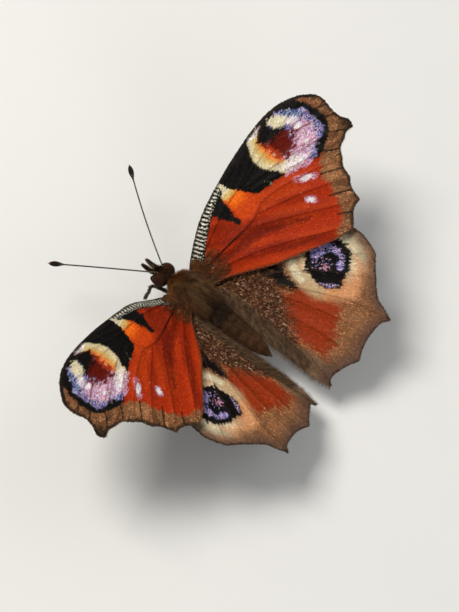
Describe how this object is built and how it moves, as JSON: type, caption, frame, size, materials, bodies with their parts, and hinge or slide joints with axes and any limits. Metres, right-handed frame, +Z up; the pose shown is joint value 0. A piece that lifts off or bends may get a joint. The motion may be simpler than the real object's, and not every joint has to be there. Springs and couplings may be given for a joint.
{
  "type": "peacock butterfly",
  "caption": "Still life-size peacock butterfly standing on its legs with raised, open wings that carry large eyespots and ridged veins.",
  "frame": {"origin": "on the floor, under the middle of the whole box", "axes": "+X to the insect's left across the wings, +Y towards its tail, +Z up from the floor"},
  "size_m": [0.063, 0.0444, 0.0211],
  "materials": {
    "forewing": "matt scaled membrane, brick red with a dark costal patch and an eyespot",
    "hindwing": "matt scaled membrane, dark red and brown with a black and violet eyespot",
    "body": "dense dark brown hair",
    "eye": "dark faceted eye with a low gloss",
    "leg": "dark brown scaled leg",
    "feeler": "dark brown feeler with a pale tip"
  },
  "bodies": {
    "root": {"thorax": "body", "head": "body", "abdomen": "body", "palp_left": "body", "palp_right": "body", "eye_left": "eye", "eye_right": "eye", "proboscis": "feeler", "antenna_left": "feeler", "antenna_right": "feeler", "forewing_left": "forewing", "forewing_right": "forewing", "hindwing_left": "hindwing", "hindwing_right": "hindwing", "foreleg_left": "leg", "foreleg_right": "leg", "midleg_left": "leg", "midleg_right": "leg", "hindleg_left": "leg", "hindleg_right": "leg"}
  },
  "joints": []
}
